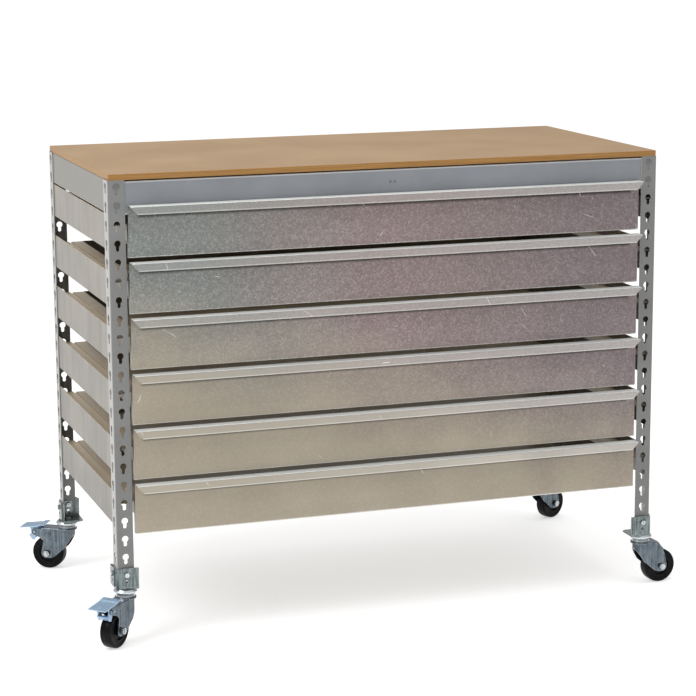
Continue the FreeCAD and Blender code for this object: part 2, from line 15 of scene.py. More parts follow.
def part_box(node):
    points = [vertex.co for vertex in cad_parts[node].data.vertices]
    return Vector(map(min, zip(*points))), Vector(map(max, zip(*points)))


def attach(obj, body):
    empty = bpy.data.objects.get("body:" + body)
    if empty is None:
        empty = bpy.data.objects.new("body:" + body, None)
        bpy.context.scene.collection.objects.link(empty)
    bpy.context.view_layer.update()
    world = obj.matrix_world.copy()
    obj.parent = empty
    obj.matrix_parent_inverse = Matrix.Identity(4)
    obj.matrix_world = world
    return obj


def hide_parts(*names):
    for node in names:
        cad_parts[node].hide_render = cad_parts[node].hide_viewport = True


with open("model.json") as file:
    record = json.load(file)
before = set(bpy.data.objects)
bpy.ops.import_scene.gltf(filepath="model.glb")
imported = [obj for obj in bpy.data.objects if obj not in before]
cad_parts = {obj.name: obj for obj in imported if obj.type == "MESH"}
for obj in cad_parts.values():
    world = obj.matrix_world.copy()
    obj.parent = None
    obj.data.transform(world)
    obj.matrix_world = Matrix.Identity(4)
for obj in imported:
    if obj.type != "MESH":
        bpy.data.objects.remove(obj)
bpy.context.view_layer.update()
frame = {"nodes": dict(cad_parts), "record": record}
nodes = frame["nodes"]
record = frame["record"]

# %% [markdown]
# ## Measures
# The joints in the record say where each castor swivels and rolls. The worktop's
# box gives the bench's centre, which is a little off the origin because the
# castors trail to different sides.

# %% Read the measures
joints = {j["name"]: j for j in record["behaviour"]["joints"]}
board_low, board_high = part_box("worktop")
centre = (board_low + board_high) / 2
MM = 0.001
castors = {}
for name, joint in joints.items():
    if name.startswith("swivel_"):
        corner = name[len("swivel_"):-len("_turn")]
        roll = joints["wheel_%s_roll" % corner]
        castors[corner] = {"king": Vector(joint["pos_m"]), "wheel": Vector(roll["pos_m"]),
                           "across": Vector(roll["axis"])}
print("castors", {k: [round(c, 3) for c in v["wheel"]] for k, v in castors.items()})

# %% [markdown]
# ## Node trees without clutter
# Every finish below is a small node tree. One helper adds a node and wires its
# inputs in one line; a second one opens a new node group with named sockets.

# %% Helpers for node trees
def add(tree, kind, links=None, **settings):
    node = tree.nodes.new(kind)
    for key, value in settings.items():
        setattr(node, key, value)
    for key, value in (links or {}).items():
        socket = node.inputs[key]
        if isinstance(value, bpy.types.NodeSocket):
            tree.links.new(value, socket)
        else:
            socket.default_value = value
    return node


def new_group(name, inputs, outputs):
    tree = bpy.data.node_groups.new(name, "ShaderNodeTree")
    for label, kind, value in inputs:
        socket = tree.interface.new_socket(label, in_out="INPUT", socket_type=kind)
        if value is not None:
            socket.default_value = value
    for label, kind in outputs:
        tree.interface.new_socket(label, in_out="OUTPUT", socket_type=kind)
    start = tree.nodes.new("NodeGroupInput")
    end = tree.nodes.new("NodeGroupOutput")
    return tree, start, end


def math_node(tree, operation, a, b=0.0, clamp=False):
    node = add(tree, "ShaderNodeMath", {0: a, 1: b}, operation=operation, use_clamp=clamp)
    return node.outputs[0]


def remap(tree, value, low, high, to_low=0.0, to_high=1.0):
    node = add(tree, "ShaderNodeMapRange", {"Value": value, "From Min": low, "From Max": high,
                                            "To Min": to_low, "To Max": to_high})
    return node.outputs["Result"]


def mix_colour(tree, factor, a, b, blend="MIX"):
    node = tree.nodes.new("ShaderNodeMix")
    node.data_type = "RGBA"
    node.blend_type = blend
    for index, value in ((0, factor), (6, a), (7, b)):
        if isinstance(value, bpy.types.NodeSocket):
            tree.links.new(value, node.inputs[index])
        else:
            node.inputs[index].default_value = value
    return node.outputs[2]


def use_group(tree, group, **values):
    node = tree.nodes.new("ShaderNodeGroup")
    node.node_tree = group
    for key, value in values.items():
        socket = node.inputs[key.replace("_", " ")]
        if isinstance(value, bpy.types.NodeSocket):
            tree.links.new(value, socket)
        else:
            socket.default_value = value
    return node


print("node helpers ready")

# %% [markdown]
# ## Edge wear
# Thin steel shows bright lines where its edges are rubbed. A
# Bevel node gives the normal that a rounded edge would have; where it differs
# from the flat normal there is an edge. Noise breaks the line up.

# %% Edge wear group
edge_wear, start, end = new_group(
    "edge wear",
    [("Position", "NodeSocketVector", None), ("Radius", "NodeSocketFloat", 0.0012),
     ("Break up", "NodeSocketFloat", 90.0)],
    [("Mask", "NodeSocketFloat")])
rounded = add(edge_wear, "ShaderNodeBevel", {"Radius": start.outputs["Radius"]}, samples=4)
flat = add(edge_wear, "ShaderNodeNewGeometry")
same = add(edge_wear, "ShaderNodeVectorMath",
           {0: rounded.outputs[0], 1: flat.outputs["Normal"]}, operation="DOT_PRODUCT")
edge = remap(edge_wear, same.outputs["Value"], 0.985, 0.8)
chips = add(edge_wear, "ShaderNodeTexNoise",
            {"Vector": start.outputs["Position"], "Scale": start.outputs["Break up"],
             "Detail": 4.0, "Roughness": 0.7})
broken = remap(edge_wear, chips.outputs["Fac"], 0.38, 0.62)
mask = math_node(edge_wear, "MULTIPLY", edge, broken, clamp=True)
edge_wear.links.new(mask, end.inputs["Mask"])
print("group", edge_wear.name)

# %% [markdown]
# ## Zinc spangle
# Hot-dip galvanised sheet freezes into flat crystals a few millimetres across,
# each a slightly different grey. Two sizes of Voronoi cell stand for them, and
# soft clouds of noise for the stains that the bath leaves.

# %% Spangle group
spangle, start, end = new_group(
    "zinc spangle",
    [("Position", "NodeSocketVector", None), ("Crystals", "NodeSocketFloat", 120.0),
     ("Clouds", "NodeSocketFloat", 6.0)],
    [("Crystal", "NodeSocketFloat"), ("Cloud", "NodeSocketFloat")])
warp = add(spangle, "ShaderNodeTexNoise", {"Vector": start.outputs["Position"], "Scale": 35.0})
bent = add(spangle, "ShaderNodeVectorMath", {0: warp.outputs["Color"], "Scale": 0.004},
           operation="SCALE")
place = add(spangle, "ShaderNodeVectorMath", {0: start.outputs["Position"], 1: bent.outputs[0]},
            operation="ADD")
cells = []
for factor in (1.0, 2.7):
    size = math_node(spangle, "MULTIPLY", start.outputs["Crystals"], factor)
    cell = add(spangle, "ShaderNodeTexVoronoi",
               {"Vector": place.outputs[0], "Scale": size, "Randomness": 1.0})
    cells.append(add(spangle, "ShaderNodeSeparateColor", {0: cell.outputs["Color"]}).outputs[0])
both = math_node(spangle, "ADD", math_node(spangle, "MULTIPLY", cells[0], 0.6),
                 math_node(spangle, "MULTIPLY", cells[1], 0.4))
cloud = add(spangle, "ShaderNodeTexNoise",
            {"Vector": start.outputs["Position"], "Scale": start.outputs["Clouds"], "Detail": 5.0,
             "Roughness": 0.62})
spangle.links.new(both, end.inputs["Crystal"])
spangle.links.new(cloud.outputs["Fac"], end.inputs["Cloud"])
print("group", spangle.name)

# %% [markdown]
# ## Rolling streaks
# Rolled steel carries long soft streaks. Noise stretched along one axis gives
# them; the stretch is an input, because the side rails show them upright and the
# trays along their length.

# %% Streak group
streaks, start, end = new_group(
    "rolling streaks",
    [("Position", "NodeSocketVector", None), ("Stretch", "NodeSocketVector", (60.0, 60.0, 3.0)),
     ("Sharpness", "NodeSocketFloat", 0.5)],
    [("Streak", "NodeSocketFloat")])
drawn = add(streaks, "ShaderNodeVectorMath",
            {0: start.outputs["Position"], 1: start.outputs["Stretch"]}, operation="MULTIPLY")
lines = add(streaks, "ShaderNodeTexNoise",
            {"Vector": drawn.outputs[0], "Scale": 1.0, "Detail": 3.0,
             "Roughness": start.outputs["Sharpness"], "Distortion": 0.4})
streaks.links.new(lines.outputs["Fac"], end.inputs["Streak"])
print("group", streaks.name)

# %% [markdown]
# ## Scratches
# A handful of fine bright scratches cross the sheets. Each layer is a band
# pattern that is only seen where a second, slow noise lets it through.

# %% Scratch group
scratches, start, end = new_group(
    "fine scratches",
    [("Position", "NodeSocketVector", None), ("Amount", "NodeSocketFloat", 0.5)],
    [("Scratch", "NodeSocketFloat")])
slants = (((0.3, 0.5, 0.2), 5.0, 0.0), ((1.1, 0.2, 0.9), 7.0, 3.0), ((0.6, 1.4, 2.0), 9.0, 8.0))
layers = []
for turn, size, shift in slants:
    turned = add(scratches, "ShaderNodeMapping",
                 {"Vector": start.outputs["Position"], "Rotation": turn, "Location": (shift, 0, shift)})
    band = add(scratches, "ShaderNodeTexWave",
               {"Vector": turned.outputs[0], "Scale": size, "Distortion": 5.0, "Detail": 2.0,
                "Detail Scale": 0.8}, wave_type="BANDS")
    thin = remap(scratches, band.outputs["Fac"], 0.9992, 1.0)
    gate = add(scratches, "ShaderNodeTexNoise", {"Vector": turned.outputs[0], "Scale": 14.0 + size})
    seen = remap(scratches, gate.outputs["Fac"], 0.66, 0.72)
    layers.append(math_node(scratches, "MULTIPLY", thin, seen, clamp=True))
total = math_node(scratches, "ADD", layers[0], layers[1])
total = math_node(scratches, "ADD", total, layers[2], clamp=True)
total = math_node(scratches, "MULTIPLY", total, start.outputs["Amount"], clamp=True)
scratches.links.new(total, end.inputs["Scratch"])
print("group", scratches.name)


# %% [markdown]
# ## Materials
# A shared start for every finish: a Principled shader and the piece's own
# object coordinates, so a pattern stays on the piece when it moves. Small helpers
# give the way a face points, a colour made darker or lighter, and the bump.

# %% New finish
def new_finish(name):
    material = bpy.data.materials.new(name)
    material.use_nodes = True
    tree = material.node_tree
    tree.nodes.clear()
    shader = tree.nodes.new("ShaderNodeBsdfPrincipled")
    output = tree.nodes.new("ShaderNodeOutputMaterial")
    tree.links.new(shader.outputs[0], output.inputs[0])
    position = tree.nodes.new("ShaderNodeTexCoord").outputs["Object"]
    return material, tree, shader, position


def facing(tree):
    """The face's direction as three sockets X, Y and Z."""
    normal = tree.nodes["Texture Coordinate"].outputs["Normal"]
    return add(tree, "ShaderNodeSeparateXYZ", {0: normal}).outputs


def scaled(tree, colour, amount):
    grey = add(tree, "ShaderNodeCombineColor", {0: amount, 1: amount, 2: amount}).outputs[0]
    return mix_colour(tree, 1.0, colour, grey, "MULTIPLY")


def set_bump(tree, shader, height, strength, distance):
    bump = add(tree, "ShaderNodeBump", {"Height": height, "Strength": strength, "Distance": distance})
    tree.links.new(bump.outputs[0], shader.inputs["Normal"])


PAINTED_LIGHT_GREY = (0.62, 0.61, 0.58, 1)
print("finish helpers ready")

# %% [markdown]
# ### Galvanised sheet
# The drawers and rails are bare galvanised steel: metallic, half rough, with
# crystals, clouds, streaks and a few scratches. The caller gives a function for
# the base tint, so that a stack of drawers can change tint from one end to the
# other, and the direction of the streaks. Faces that look up are painted paler
# with a given colour as painted light, and are hardly metallic.

# %% Galvanised finish
SCRATCHED_ZINC = (0.80, 0.80, 0.78, 1)
PAINTED_TOP_LIGHT = (0.84, 0.86, 0.84, 1)
RIPPLE = 2.5


def galvanised(name, make_tint, stretch, crystal, streak, scratch, rough=(0.30, 0.48),
               top_light_colour=PAINTED_TOP_LIGHT, metal=0.8):
    material, tree, shader, position = new_finish(name)
    zinc = use_group(tree, spangle, Position=position, Crystals=300.0, Clouds=5.0)
    lines = use_group(tree, streaks, Position=position, Stretch=stretch, Sharpness=0.55)
    marks = use_group(tree, scratches, Position=position, Amount=scratch)
    worn = use_group(tree, edge_wear, Position=position, Radius=0.0010, Break_up=60.0)
    tint, speckle = make_tint(tree, position, zinc.outputs["Cloud"])
    flecks = math_node(tree, "ADD",
                       remap(tree, zinc.outputs["Crystal"], 0.1, 0.9, -crystal, crystal),
                       remap(tree, zinc.outputs["Crystal"], 0.70, 0.80, 0.0, crystal))
    flecks = math_node(tree, "MULTIPLY", flecks, speckle)
    drawn = remap(tree, lines.outputs["Streak"], 0.3, 0.7, 1 - streak, 1 + streak)
    colour = scaled(tree, tint, math_node(tree, "ADD", flecks, drawn))
    bright = math_node(tree, "ADD", marks.outputs["Scratch"],
                       math_node(tree, "MULTIPLY", worn.outputs["Mask"], 0.6), clamp=True)
    colour = mix_colour(tree, bright, colour, SCRATCHED_ZINC)
    # Painted light: faces that look up are mixed towards a pale given colour and made hardly metallic.
    up = facing(tree)["Z"]
    colour = mix_colour(tree, remap(tree, up, 0.3, 0.9, 0.0, 0.85), colour, top_light_colour)
    tree.links.new(colour, shader.inputs["Base Color"])
    tree.links.new(remap(tree, up, 0.3, 0.9, metal, 0.1), shader.inputs["Metallic"])
    dull = remap(tree, zinc.outputs["Cloud"], 0.3, 0.7, rough[0], rough[1])
    dull = math_node(tree, "ADD", dull, remap(tree, zinc.outputs["Crystal"], 0.0, 1.0, -0.05, 0.05))
    tree.links.new(dull, shader.inputs["Roughness"])
    slow = add(tree, "ShaderNodeTexNoise", {"Vector": position, "Scale": 7.0, "Detail": 1.0})
    skin = math_node(tree, "ADD", math_node(tree, "MULTIPLY", lines.outputs["Streak"], 0.25),
                     math_node(tree, "MULTIPLY", zinc.outputs["Crystal"], 0.06))
    height = math_node(tree, "ADD", math_node(tree, "MULTIPLY", slow.outputs["Fac"], RIPPLE), skin)
    set_bump(tree, shader, height, 0.5, 0.0006)
    return material


print("galvanised finish ready")

# %% [markdown]
# ### Tint of the drawer fronts
# The fronts run from a warm pale zinc low at the left to a darker grey high up,
# a little green at the left and mauve at the right. The tint is worked out from
# the place on the bench, and the crystals show most on the dark sheets.
#
# Each front is one folded sheet, and the fold is what makes it readable. The lip,
# which hangs in front of the panel, is painted paler than the panel as painted light, its
# lower edge carrying a painted highlight. The panel has painted shade in the corner under
# the lip, is painted darker towards its top, and has a painted highlight on its bottom fold.

# %% Drawer front tint
LEVEL_PITCH = 0.114
LIP_DEPTH = 0.0165
FRONT_DEPTH = 0.106
front_low, front_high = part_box("drawer_front_1")
last_low, last_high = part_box("drawer_front_6")
PALE = (0.343, 0.303, 0.239, 1)
GREEN_GREY = (0.241, 0.254, 0.242, 1)
MAUVE = (0.280, 0.222, 0.214, 1)
SLATE = (0.220, 0.182, 0.188, 1)
LIP_EDGE_HIGHLIGHT = (0.80, 0.80, 0.76, 1)
BOTTOM_FOLD_HIGHLIGHT = (0.85, 0.84, 0.80, 1)
FALL_UPWARD = 1.42
FALL_TO_RIGHT = 0.75


def fall_of_tint(tree, along, height, cloud):
    """From 0 low at the left to about 2.2 high at the right, with soft clouds."""
    lowest, highest = (last_low.z + last_high.z) / 2, (front_low.z + front_high.z) / 2
    upward = remap(tree, height, lowest, highest)
    fall = math_node(tree, "ADD", math_node(tree, "MULTIPLY", upward, FALL_UPWARD),
                     math_node(tree, "MULTIPLY", along, FALL_TO_RIGHT))
    return math_node(tree, "ADD", fall, remap(tree, cloud, 0.3, 0.7, -0.13, 0.13))


def lip_tint(tree, tint, along, drop):
    # Painted light: the lip is mixed paler than the panel, more towards the right, and its lower edge gets
    # a painted highlight.
    paler = remap(tree, along, 0.1, 1.0, 0.12, 0.50)
    lip = mix_colour(tree, paler, scaled(tree, tint, 1.15), PAINTED_LIGHT_GREY)
    edge = remap(tree, drop, LIP_DEPTH - 0.003, LIP_DEPTH - 0.001, 0.0, 0.5)
    return mix_colour(tree, edge, lip, LIP_EDGE_HIGHLIGHT)


def panel_tint(tree, tint, along, drop):
    # Painted shade in the corner under the lip, except near the ends, and a painted highlight on the bottom
    # fold.
    dark = remap(tree, drop, LIP_DEPTH + 0.006, LIP_DEPTH + 0.011, 0.70, 0.0)
    covered = math_node(tree, "MULTIPLY", remap(tree, along, 0.014, 0.020),
                        remap(tree, along, 0.986, 0.980))
    light = math_node(tree, "SUBTRACT", 1.0, math_node(tree, "MULTIPLY", dark, covered))
    fold = remap(tree, drop, FRONT_DEPTH - 0.003, FRONT_DEPTH - 0.001, 0.0, 0.8)
    return mix_colour(tree, fold, scaled(tree, tint, light), BOTTOM_FOLD_HIGHLIGHT)


def front_tint(tree, position, cloud):
    place = add(tree, "ShaderNodeSeparateXYZ", {0: position})
    along = remap(tree, place.outputs["X"], front_low.x, front_high.x, 0.0, 1.0)
    pale = remap(tree, fall_of_tint(tree, along, place.outputs["Z"], cloud), 1.24, 0.64)
    dark = mix_colour(tree, remap(tree, along, 0.10, 0.45), GREEN_GREY, MAUVE)
    dark = mix_colour(tree, remap(tree, along, 0.50, 0.90), dark, SLATE)
    drop = math_node(tree, "SUBTRACT", front_high.z, place.outputs["Z"])
    drop = math_node(tree, "MODULO", drop, LEVEL_PITCH)
    on_lip = remap(tree, place.outputs["Y"], front_low.y + 0.004, front_low.y + 0.002)
    # Painted shade: each front's tint is made darker towards its top and lighter towards its bottom.
    tint = scaled(tree, mix_colour(tree, pale, dark, PALE),
                  remap(tree, drop, 0.02, FRONT_DEPTH, 0.94, 1.08))
    speckle = math_node(tree, "MULTIPLY", remap(tree, pale, 0.0, 1.0, 1.0, 0.25),
                        remap(tree, on_lip, 0.0, 1.0, 1.0, 0.35))
    colour = mix_colour(tree, on_lip, panel_tint(tree, tint, along, drop),
                        lip_tint(tree, tint, along, drop))
    return colour, speckle


print("fronts from", round(last_low.z, 3), "to", round(front_high.z, 3))

# %% [markdown]
# ### Tint of rails and trays
# Rails and trays have one colour with soft clouds. The rails get painted shade
# that makes them darker towards the floor. Their ends sit behind the posts and
# are painted dark as painted shade, so that the keyholes in the posts read as dark holes.

# %% Rail and tray tints
COVERED_END = 0.036
HIDDEN_FROM = (board_high.y - board_low.y) / 2 - COVERED_END
DIM_AT_TOP = 0.92
DIM_AT_BOTTOM = 0.66
PAINTED_END_SHADE = (0.02, 0.02, 0.022, 1)


def plain_tint(warm, cool, is_rail=False):
    def tint(tree, position, cloud):
        colour = mix_colour(tree, remap(tree, cloud, 0.36, 0.64), warm, cool)
        if is_rail:
            place = add(tree, "ShaderNodeSeparateXYZ", {0: position})
            # Painted shade: the rails are made darker towards the floor.
            dimmer = remap(tree, place.outputs["Z"], last_low.z, board_low.z,
                           DIM_AT_BOTTOM, DIM_AT_TOP)
            colour = scaled(tree, colour, dimmer)
            # Painted shade: the rail ends behind the posts are mixed almost to black.
            away = math_node(tree, "SUBTRACT", place.outputs["Y"], centre.y)
            away = math_node(tree, "ABSOLUTE", away)
            hidden = remap(tree, away, HIDDEN_FROM, HIDDEN_FROM + 0.002, 0.0, 0.93)
            colour = mix_colour(tree, hidden, colour, PAINTED_END_SHADE)
        return colour, 1.0
    return tint


front_sheet = galvanised("galvanised drawer front", front_tint, (2.0, 30.0, 14.0),
                         crystal=0.22, streak=0.05, scratch=0.9)
rail_sheet = galvanised("galvanised rail",
                        plain_tint((0.355, 0.318, 0.270, 1), (0.345, 0.328, 0.300, 1), True),
                        (1.0, 34.0, 3.5), crystal=0.05, streak=0.14, scratch=0.3,
                        rough=(0.36, 0.52), top_light_colour=(0.86, 0.70, 0.50, 1), metal=0.35)
tray_sheet = galvanised("galvanised tray",
                        plain_tint((0.30, 0.26, 0.20, 1), (0.24, 0.22, 0.19, 1)),
                        (3.0, 40.0, 40.0), crystal=0.06, streak=0.22, scratch=0.5,
                        rough=(0.26, 0.42), top_light_colour=(0.70, 0.56, 0.38, 1))
print("galvanised finishes made")

# %% [markdown]
# ### Grey paint
# Posts and beams are painted: a fine orange-peel skin, slightly uneven gloss, and
# rubbed edges that show the paler steel. The beams' two bends carry a painted
# highlight, and the faces of the posts that look left are painted paler as painted light.

# %% Grey paint finish
BEND_HIGHLIGHT = (0.72, 0.73, 0.73, 1)
WORN_PAINT = (0.56, 0.56, 0.54, 1)
SCRATCHED_PAINT = (0.5, 0.5, 0.5, 1)
ORANGE_PEEL = 0.35


def grey_paint(name, colour, folds=None, flank=0.0):
    """folds: heights of the upper and lower bend, which get a painted highlight; flank: how much painted
    light makes a face looking left paler.
    """
    material, tree, shader, position = new_finish(name)
    skin = add(tree, "ShaderNodeTexNoise", {"Vector": position, "Scale": 700.0, "Detail": 2.0})
    cloud = add(tree, "ShaderNodeTexNoise", {"Vector": position, "Scale": 9.0, "Detail": 4.0})
    worn = use_group(tree, edge_wear, Position=position, Radius=0.0009, Break_up=45.0)
    marks = use_group(tree, scratches, Position=position, Amount=0.25)
    darker = tuple(c * 0.86 for c in colour[:3]) + (1,)
    base = mix_colour(tree, remap(tree, cloud.outputs["Fac"], 0.35, 0.65), darker, colour)
    # Painted light: faces that look left are mixed towards a pale grey.
    base = mix_colour(tree, remap(tree, facing(tree)["X"], -0.6, -0.95, 0.0, flank), base, PAINTED_LIGHT_GREY)
    if folds:
        # Painted highlight: a pale band along each of the beam's two bends.
        height = add(tree, "ShaderNodeSeparateXYZ", {0: position}).outputs["Z"]
        upper = remap(tree, height, folds[0] - 0.0035, folds[0] - 0.0015, 0.0, 0.75)
        lower = remap(tree, height, folds[1] + 0.0055, folds[1] + 0.0035, 0.0, 0.35)
        base = mix_colour(tree, math_node(tree, "ADD", upper, lower), base, BEND_HIGHLIGHT)
    rubbed = math_node(tree, "MULTIPLY", worn.outputs["Mask"], 0.55)
    base = mix_colour(tree, rubbed, base, WORN_PAINT)
    base = mix_colour(tree, marks.outputs["Scratch"], base, SCRATCHED_PAINT)
    gloss = remap(tree, cloud.outputs["Fac"], 0.3, 0.7, 0.42, 0.54)
    bare = math_node(tree, "MULTIPLY", worn.outputs["Mask"], 0.6)
    tree.links.new(base, shader.inputs["Base Color"])
    tree.links.new(gloss, shader.inputs["Roughness"])
    tree.links.new(bare, shader.inputs["Metallic"])
    set_bump(tree, shader, skin.outputs["Fac"], ORANGE_PEEL, 0.0001)
    return material


beam_low, beam_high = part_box("beam_front")
post_paint = grey_paint("grey post paint", (0.216, 0.216, 0.212, 1), flank=0.55)
beam_paint = grey_paint("grey front beam paint", (0.252, 0.268, 0.292, 1),
                        folds=(beam_high.z, beam_low.z))
stud_paint = grey_paint("grey stud paint", (0.150, 0.153, 0.150, 1))
side_paint = grey_paint("grey side beam paint", (0.265, 0.253, 0.226, 1))
print("paints made")

# %% [markdown]
# ### Pressed board
# The top is raw pressed board: a smooth tan face with faint fibre flecks, and
# edges that are browner and rougher. The normal tells face from edge. The left
# end is painted nearly as pale as the face, as painted light.

# %% Board finish
TOP_DARK, TOP_LIGHT = (0.360, 0.234, 0.126, 1), (0.407, 0.274, 0.157, 1)
EDGE_DARK, EDGE_LIGHT = (0.270, 0.124, 0.025, 1), (0.395, 0.200, 0.050, 1)
DARK_FIBRE, LIGHT_CHIP = (0.27, 0.165, 0.08, 1), (0.56, 0.43, 0.28, 1)
board, tree, shader, position = new_finish("pressed board")
fibre = add(tree, "ShaderNodeTexNoise",
            {"Vector": position, "Scale": 900.0, "Detail": 3.0, "Roughness": 0.7})
fleck = add(tree, "ShaderNodeTexVoronoi", {"Vector": position, "Scale": 420.0})
patch = add(tree, "ShaderNodeTexNoise", {"Vector": position, "Scale": 5.0, "Detail": 5.0})
top_colour = mix_colour(tree, remap(tree, patch.outputs["Fac"], 0.35, 0.65), TOP_DARK, TOP_LIGHT)
fibres = remap(tree, fibre.outputs["Fac"], 0.62, 0.72, 0.0, 0.35)
top_colour = mix_colour(tree, fibres, top_colour, DARK_FIBRE)
chips = remap(tree, fleck.outputs["Distance"], 0.10, 0.0, 0.0, 0.25)
top_colour = mix_colour(tree, chips, top_colour, LIGHT_CHIP)
saw = use_group(tree, streaks, Position=position, Stretch=(8.0, 8.0, 700.0), Sharpness=0.7)
edge_colour = mix_colour(tree, remap(tree, saw.outputs["Streak"], 0.35, 0.65), EDGE_DARK, EDGE_LIGHT)
way = facing(tree)
# Painted light: the end that looks left is mixed towards the face's colour.
lit_left_end = remap(tree, way["X"], -0.6, -0.9, 0.0, 0.75)
edge_colour = mix_colour(tree, lit_left_end, edge_colour, top_colour)
face = remap(tree, math_node(tree, "ABSOLUTE", way["Z"]), 0.6, 0.9)
tree.links.new(mix_colour(tree, face, edge_colour, top_colour), shader.inputs["Base Color"])
tree.links.new(remap(tree, patch.outputs["Fac"], 0.3, 0.7, 0.55, 0.72), shader.inputs["Roughness"])
grain = math_node(tree, "ADD", fibre.outputs["Fac"], fleck.outputs["Distance"])
set_bump(tree, shader, grain, 0.35, 0.0002)
print("board finish made")


# %% [markdown]
# ### Bright zinc plating
# The castor steel is electroplated: smoother and bluer than dip galvanising, with
# strong dark and light greys, vertical drag marks and milky patches. The race
# ring and the rolled edge of each fork's head carry a painted highlight that makes
# them nearly white, and faces that look up take a painted sky reflection.

# %% Zinc plate finish
RING = (0.1035, 0.1135)
HEAD_EDGE = (0.0985, 0.1025)
BAND_BLUR = 0.0006
SKY_ON_ZINC = (0.62, 0.66, 0.70, 1)
BAND_HIGHLIGHT = (0.78, 0.83, 0.86, 1)
WORN_ZINC = (0.9, 0.92, 0.94, 1)


def zinc_plate(name, low, high, rough, bands=(), up=0.5, metal=0.95):
    """bands: heights between which a painted highlight makes the plating nearly white; up: strength of the
    painted sky reflection on upper faces.
    """
    material, tree, shader, position = new_finish(name)
    cloud = add(tree, "ShaderNodeTexNoise",
                {"Vector": position, "Scale": 60.0, "Detail": 5.0, "Roughness": 0.6})
    drag = use_group(tree, streaks, Position=position, Stretch=(230.0, 230.0, 18.0), Sharpness=0.5)
    worn = use_group(tree, edge_wear, Position=position, Radius=0.0012, Break_up=200.0)
    mixed = math_node(tree, "ADD", math_node(tree, "MULTIPLY", cloud.outputs["Fac"], 0.45),
                      math_node(tree, "MULTIPLY", drag.outputs["Streak"], 0.55))
    base = mix_colour(tree, remap(tree, mixed, 0.38, 0.66), low, high)
    # Painted reflection: faces that look up are mixed towards a pale sky colour.
    base = mix_colour(tree, remap(tree, facing(tree)["Z"], 0.2, 0.9, 0.0, up), base, SKY_ON_ZINC)
    height = add(tree, "ShaderNodeSeparateXYZ", {0: position}).outputs["Z"]
    # Painted highlight: the plating between each pair of heights is made nearly white.
    for foot, head in bands:
        inside = math_node(tree, "MULTIPLY", remap(tree, height, foot - BAND_BLUR, foot + BAND_BLUR),
                           remap(tree, height, head + BAND_BLUR, head - BAND_BLUR))
        base = mix_colour(tree, math_node(tree, "MULTIPLY", inside, 0.72), base, BAND_HIGHLIGHT)
    rubbed = math_node(tree, "MULTIPLY", worn.outputs["Mask"], 0.7)
    tree.links.new(mix_colour(tree, rubbed, base, WORN_ZINC), shader.inputs["Base Color"])
    shader.inputs["Metallic"].default_value = metal
    dull = remap(tree, cloud.outputs["Fac"], 0.3, 0.7, rough, rough + 0.14)
    tree.links.new(dull, shader.inputs["Roughness"])
    set_bump(tree, shader, cloud.outputs["Fac"], 0.25, 0.0003)
    return material


zinc = zinc_plate("bright zinc bracket", (0.075, 0.096, 0.092, 1), (0.28, 0.32, 0.325, 1), 0.16,
                  bands=(RING,))
fork_zinc = zinc_plate("bright zinc fork", (0.070, 0.088, 0.104, 1), (0.195, 0.232, 0.265, 1), 0.16,
                       bands=(HEAD_EDGE,), up=0.25)
bolt_zinc = zinc_plate("bright zinc bolts", (0.30, 0.33, 0.34, 1), (0.66, 0.70, 0.72, 1), 0.18)
pedal_zinc = zinc_plate("bluish zinc pedal", (0.30, 0.44, 0.60, 1), (0.42, 0.57, 0.74, 1), 0.24,
                        up=0.0, metal=0.35)
print("zinc finishes made")

# %% [markdown]
# ### Wheel rubber and plastic
# Tyre and hub are black. The tyre has a fine moulded grain and floor dust on
# the tread; the hub is a smoother plastic.

# %% Black finishes
DUST = (0.05, 0.047, 0.044, 1)


def black(name, colour, rough, grain, dusty):
    material, tree, shader, position = new_finish(name)
    fine = add(tree, "ShaderNodeTexNoise", {"Vector": position, "Scale": 500.0, "Detail": 3.0})
    slow = add(tree, "ShaderNodeTexNoise", {"Vector": position, "Scale": 40.0, "Detail": 4.0})
    dust = remap(tree, slow.outputs["Fac"], 0.52, 0.75, 0.0, dusty)
    dull = remap(tree, slow.outputs["Fac"], 0.3, 0.7, rough, rough + 0.15)
    tree.links.new(mix_colour(tree, dust, colour, DUST), shader.inputs["Base Color"])
    tree.links.new(dull, shader.inputs["Roughness"])
    shader.inputs["Specular IOR Level"].default_value = 0.10
    set_bump(tree, shader, fine.outputs["Fac"], grain, 0.0002)
    return material


tyre_black = black("tyre rubber", (0.004, 0.004, 0.005, 1), 0.30, 0.4, 0.2)
hub_black = black("hub plastic", (0.005, 0.005, 0.006, 1), 0.26, 0.15, 0.12)
print("black finishes made")


# %% [markdown]
# ## Rounded copies of the steel parts
# Real sheared and folded steel never has a perfectly sharp edge. Each steel node
# is copied, its flat faces are joined into whole faces, and its sharp edges get
# a small bevel. The copy stands for the node and catches light along its edges.
# The hubs are plastic, but they are rounded in the same way.

# %% Refine a CAD node
IN_ONE_PLANE = math.radians(0.6)
SHARP_CORNER = math.radians(32)
SHADED_CORNER = math.radians(38)


